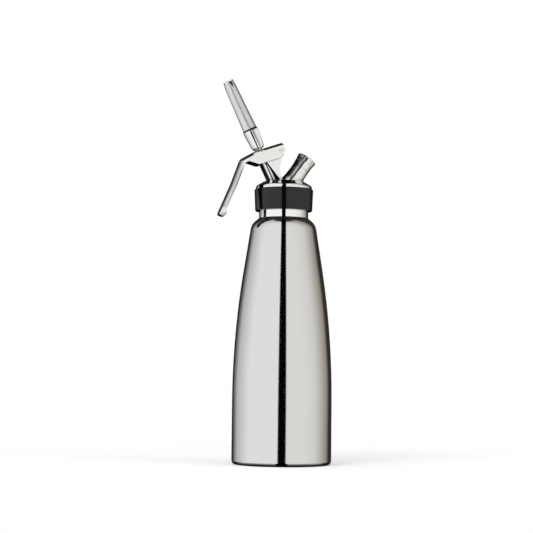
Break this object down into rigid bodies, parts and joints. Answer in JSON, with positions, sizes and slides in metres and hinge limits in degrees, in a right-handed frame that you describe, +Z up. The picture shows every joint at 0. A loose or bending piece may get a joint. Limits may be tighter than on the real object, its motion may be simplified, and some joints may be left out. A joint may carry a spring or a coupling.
{
  "type": "whipped cream dispenser",
  "caption": "Tall steel whipping bottle with a screw-on head, squeeze lever, slanted dispensing valve with tulip tip, and capped charger port.",
  "frame": {"origin": "centre of the flat rest ring under the bottle", "axes": "+Z up along the bottle; the lever and tip lean to -X, the charger port to +X"},
  "size_m": [0.1055, 0.09, 0.3485],
  "materials": {
    "satin_steel": "drawn stainless steel, satin polished",
    "polished_steel": "stainless steel, mirror polished",
    "machined_steel": "turned stainless steel",
    "spring_steel": "stainless spring wire",
    "nickelled_brass": "nickel plated",
    "black_silicone": "glossy moulded silicone",
    "sealing_rubber": "smooth food-grade silicone",
    "white_plastic": "moulded"
  },
  "bodies": {
    "bottle": {"bottle": "satin_steel"},
    "gasket": {"head_gasket": "sealing_rubber"},
    "head": {"head_body": "polished_steel", "grip_band": "black_silicone", "lever_pin": "polished_steel", "stem_oring": "sealing_rubber", "spring_washer": "machined_steel", "valve_spring": "spring_steel", "piercing_pin": "machined_steel", "pin_holder": "nickelled_brass", "charger_seal": "sealing_rubber", "check_valve": "sealing_rubber", "check_cage": "white_plastic"},
    "lever": {"lever": "polished_steel"},
    "valve": {"valve_stem": "machined_steel", "stem_collar": "machined_steel", "valve_plug": "sealing_rubber", "plug_washer": "machined_steel", "plug_nut": "machined_steel"},
    "tip": {"decorator_tip": "polished_steel", "tip_seal": "sealing_rubber"},
    "cap": {"port_cap": "polished_steel", "cap_liner": "sealing_rubber"}
  },
  "joints": [
    {"name": "head_lift", "type": "slide", "parent": "bottle", "child": "gasket", "axis": [0, 0, 1], "range_m": [0, 0.07]},
    {"name": "head_turn", "type": "hinge", "parent": "gasket", "child": "head", "pos_m": [0, 0, 0.2468], "axis": [0, 0, 1], "range_deg": [0, 540]},
    {"name": "lever_squeeze", "type": "hinge", "parent": "head", "child": "lever", "pos_m": [-0.00474, 0, 0.28309], "axis": [0, -1, 0], "range_deg": [0, 11.6], "stiffness_Nm_per_rad": 3, "springref_deg": -11.46},
    {"name": "valve_push", "type": "slide", "parent": "head", "child": "valve", "axis": [0.4305, 0, -0.9026], "range_m": [0, 0.00326], "deforming": ["valve_spring"]},
    {"name": "tip_pull", "type": "slide", "parent": "valve", "child": "tip", "axis": [-0.4305, 0, 0.9026], "range_m": [0, 0.025]},
    {"name": "cap_pull", "type": "slide", "parent": "head", "child": "cap", "axis": [0.5446, 0, 0.8387], "range_m": [0, 0.03]}
  ],
  "couplings": [
    {"joint": "valve_push", "follows": "lever_squeeze", "m_per_rad": 0.016118}
  ]
}
